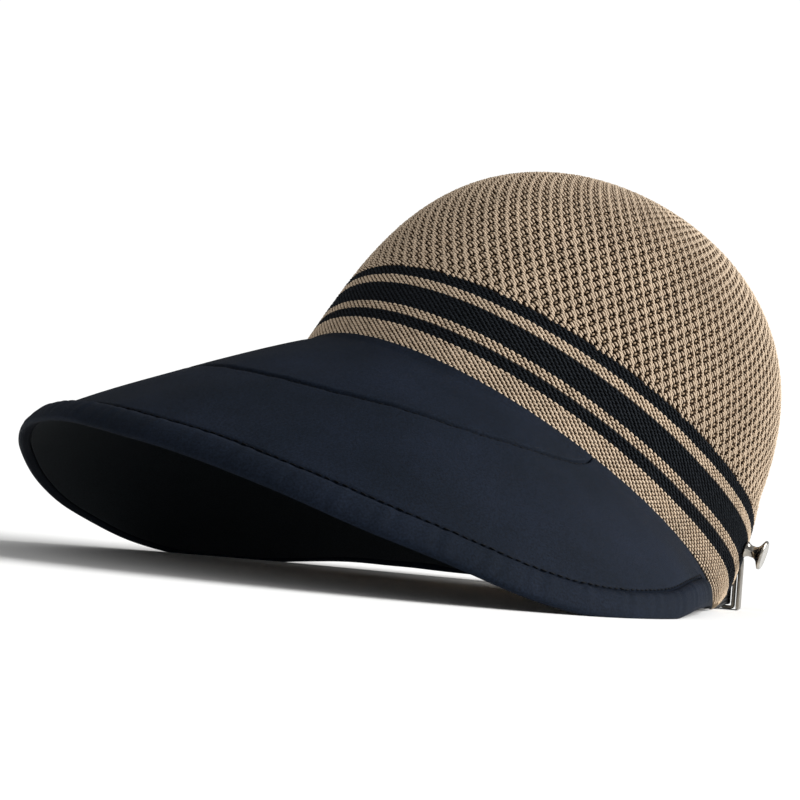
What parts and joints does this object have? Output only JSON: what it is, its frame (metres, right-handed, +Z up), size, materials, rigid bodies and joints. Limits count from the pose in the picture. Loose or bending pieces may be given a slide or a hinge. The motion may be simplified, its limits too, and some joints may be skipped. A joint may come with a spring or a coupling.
{
  "type": "wide-brimmed fisherman sun hat",
  "caption": "Soft sun hat with an open-knit domed crown, a striped knitted band, a long downturned quilted brim that tapers away at the sides, and a buckled strap across the open back.",
  "frame": {"origin": "middle of the hat's footprint on the surface it rests on", "axes": "+Z up, -Y towards the front of the brim, +X to the wearer's left; the hat rests tipped back on the brim's sides and the back strap"},
  "size_m": [0.2768, 0.3104, 0.1665],
  "materials": {
    "knit_beige": "matte knitted yarn",
    "knit_dark": "matte knitted yarn",
    "brim_cloth": "smooth navy woven cloth with a soft sheen",
    "lining_cloth": "matte black woven cloth",
    "strap_webbing": "matte black woven webbing",
    "tab_leather": "dark grey, smooth, matte",
    "buckle_metal": "plated, satin to bright"
  },
  "bodies": {
    "root": {"crown_mesh": "knit_beige", "band_hem_stripe": "knit_beige", "band_dark_stripe_low": "knit_dark", "band_beige_stripe_low": "knit_beige", "band_dark_stripe_wide": "knit_dark", "band_beige_stripe_high": "knit_beige", "band_dark_stripe_high": "knit_dark", "brim_inner_panel": "brim_cloth", "brim_outer_panel": "brim_cloth", "brim_lining": "lining_cloth", "brim_hem": "brim_cloth", "strap": "strap_webbing", "strap_tab_left": "tab_leather", "strap_tab_right": "tab_leather", "buckle_frame": "buckle_metal", "buckle_plate": "buckle_metal", "stud": "buckle_metal"}
  },
  "joints": []
}
